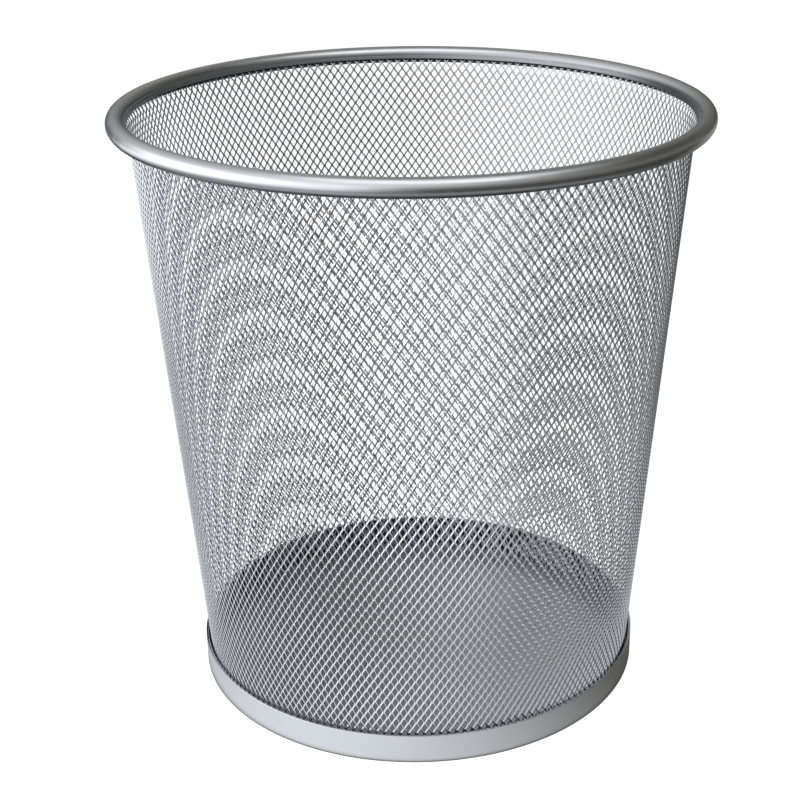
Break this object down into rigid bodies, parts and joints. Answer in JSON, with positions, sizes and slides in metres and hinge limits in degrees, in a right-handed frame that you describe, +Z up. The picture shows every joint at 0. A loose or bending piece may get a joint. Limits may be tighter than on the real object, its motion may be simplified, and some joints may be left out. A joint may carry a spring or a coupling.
{
  "type": "mesh wastebasket",
  "caption": "Round tapered wastebasket, open at the top: an expanded-metal mesh wall held in a rolled steel rim, standing in a solid pressed steel pan.",
  "frame": {"origin": "centre of the pan's underside, on the surface that the basket stands on", "axes": "+Z up along the basket's axis, out of its mouth; X and Y are any two level directions, because the basket is round"},
  "size_m": [0.295, 0.295, 0.304],
  "materials": {
    "rim_paint": "silver metallic lacquer on rolled steel strip, semi-gloss",
    "mesh_paint": "silver metallic lacquer on expanded steel, semi-gloss",
    "pan_paint": "silver metallic lacquer on pressed steel sheet, satin"
  },
  "bodies": {
    "root": {"rim_roll": "rim_paint", "mesh_wall": "mesh_paint", "base_pan": "pan_paint"}
  },
  "joints": []
}
